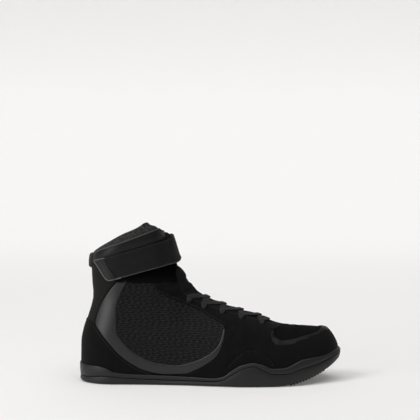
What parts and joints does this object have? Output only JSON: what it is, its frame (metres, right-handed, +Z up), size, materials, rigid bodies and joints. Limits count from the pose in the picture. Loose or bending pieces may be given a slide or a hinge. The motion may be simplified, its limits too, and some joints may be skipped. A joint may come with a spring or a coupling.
{
  "type": "boxing shoe",
  "caption": "High-top boxing shoe for the right foot with a hollow lasted upper, wrapped rubber sole, laced throat, ankle strap and knit collar cuff.",
  "frame": {"origin": "centre of the bounding box at the walking surface of the sole", "axes": "+X from heel to toe, +Y to the medial (big toe) side, +Z up from the floor"},
  "size_m": [0.2898, 0.0995, 0.1746],
  "materials": {
    "rubber": "satin moulded rubber",
    "foam": "cloth-covered foam",
    "textile": "ribbed mesh and woven nylon",
    "suede": "matte synthetic suede",
    "film": "satin synthetic leather",
    "webbing": "woven webbing",
    "knit": "rib knit",
    "cotton": "flat braided lace"
  },
  "bodies": {
    "root": {"outsole": "rubber", "midsole_rand": "rubber", "insole": "foam", "upper": "textile", "heel_counter": "suede", "quarter_band_lateral": "film", "quarter_band_medial": "film", "suede_wrap": "suede", "vamp_film": "film", "tongue": "textile", "collar_cuff": "knit", "ankle_strap": "webbing", "strap_end": "film", "heel_tab": "webbing", "lace": "cotton"}
  },
  "joints": []
}
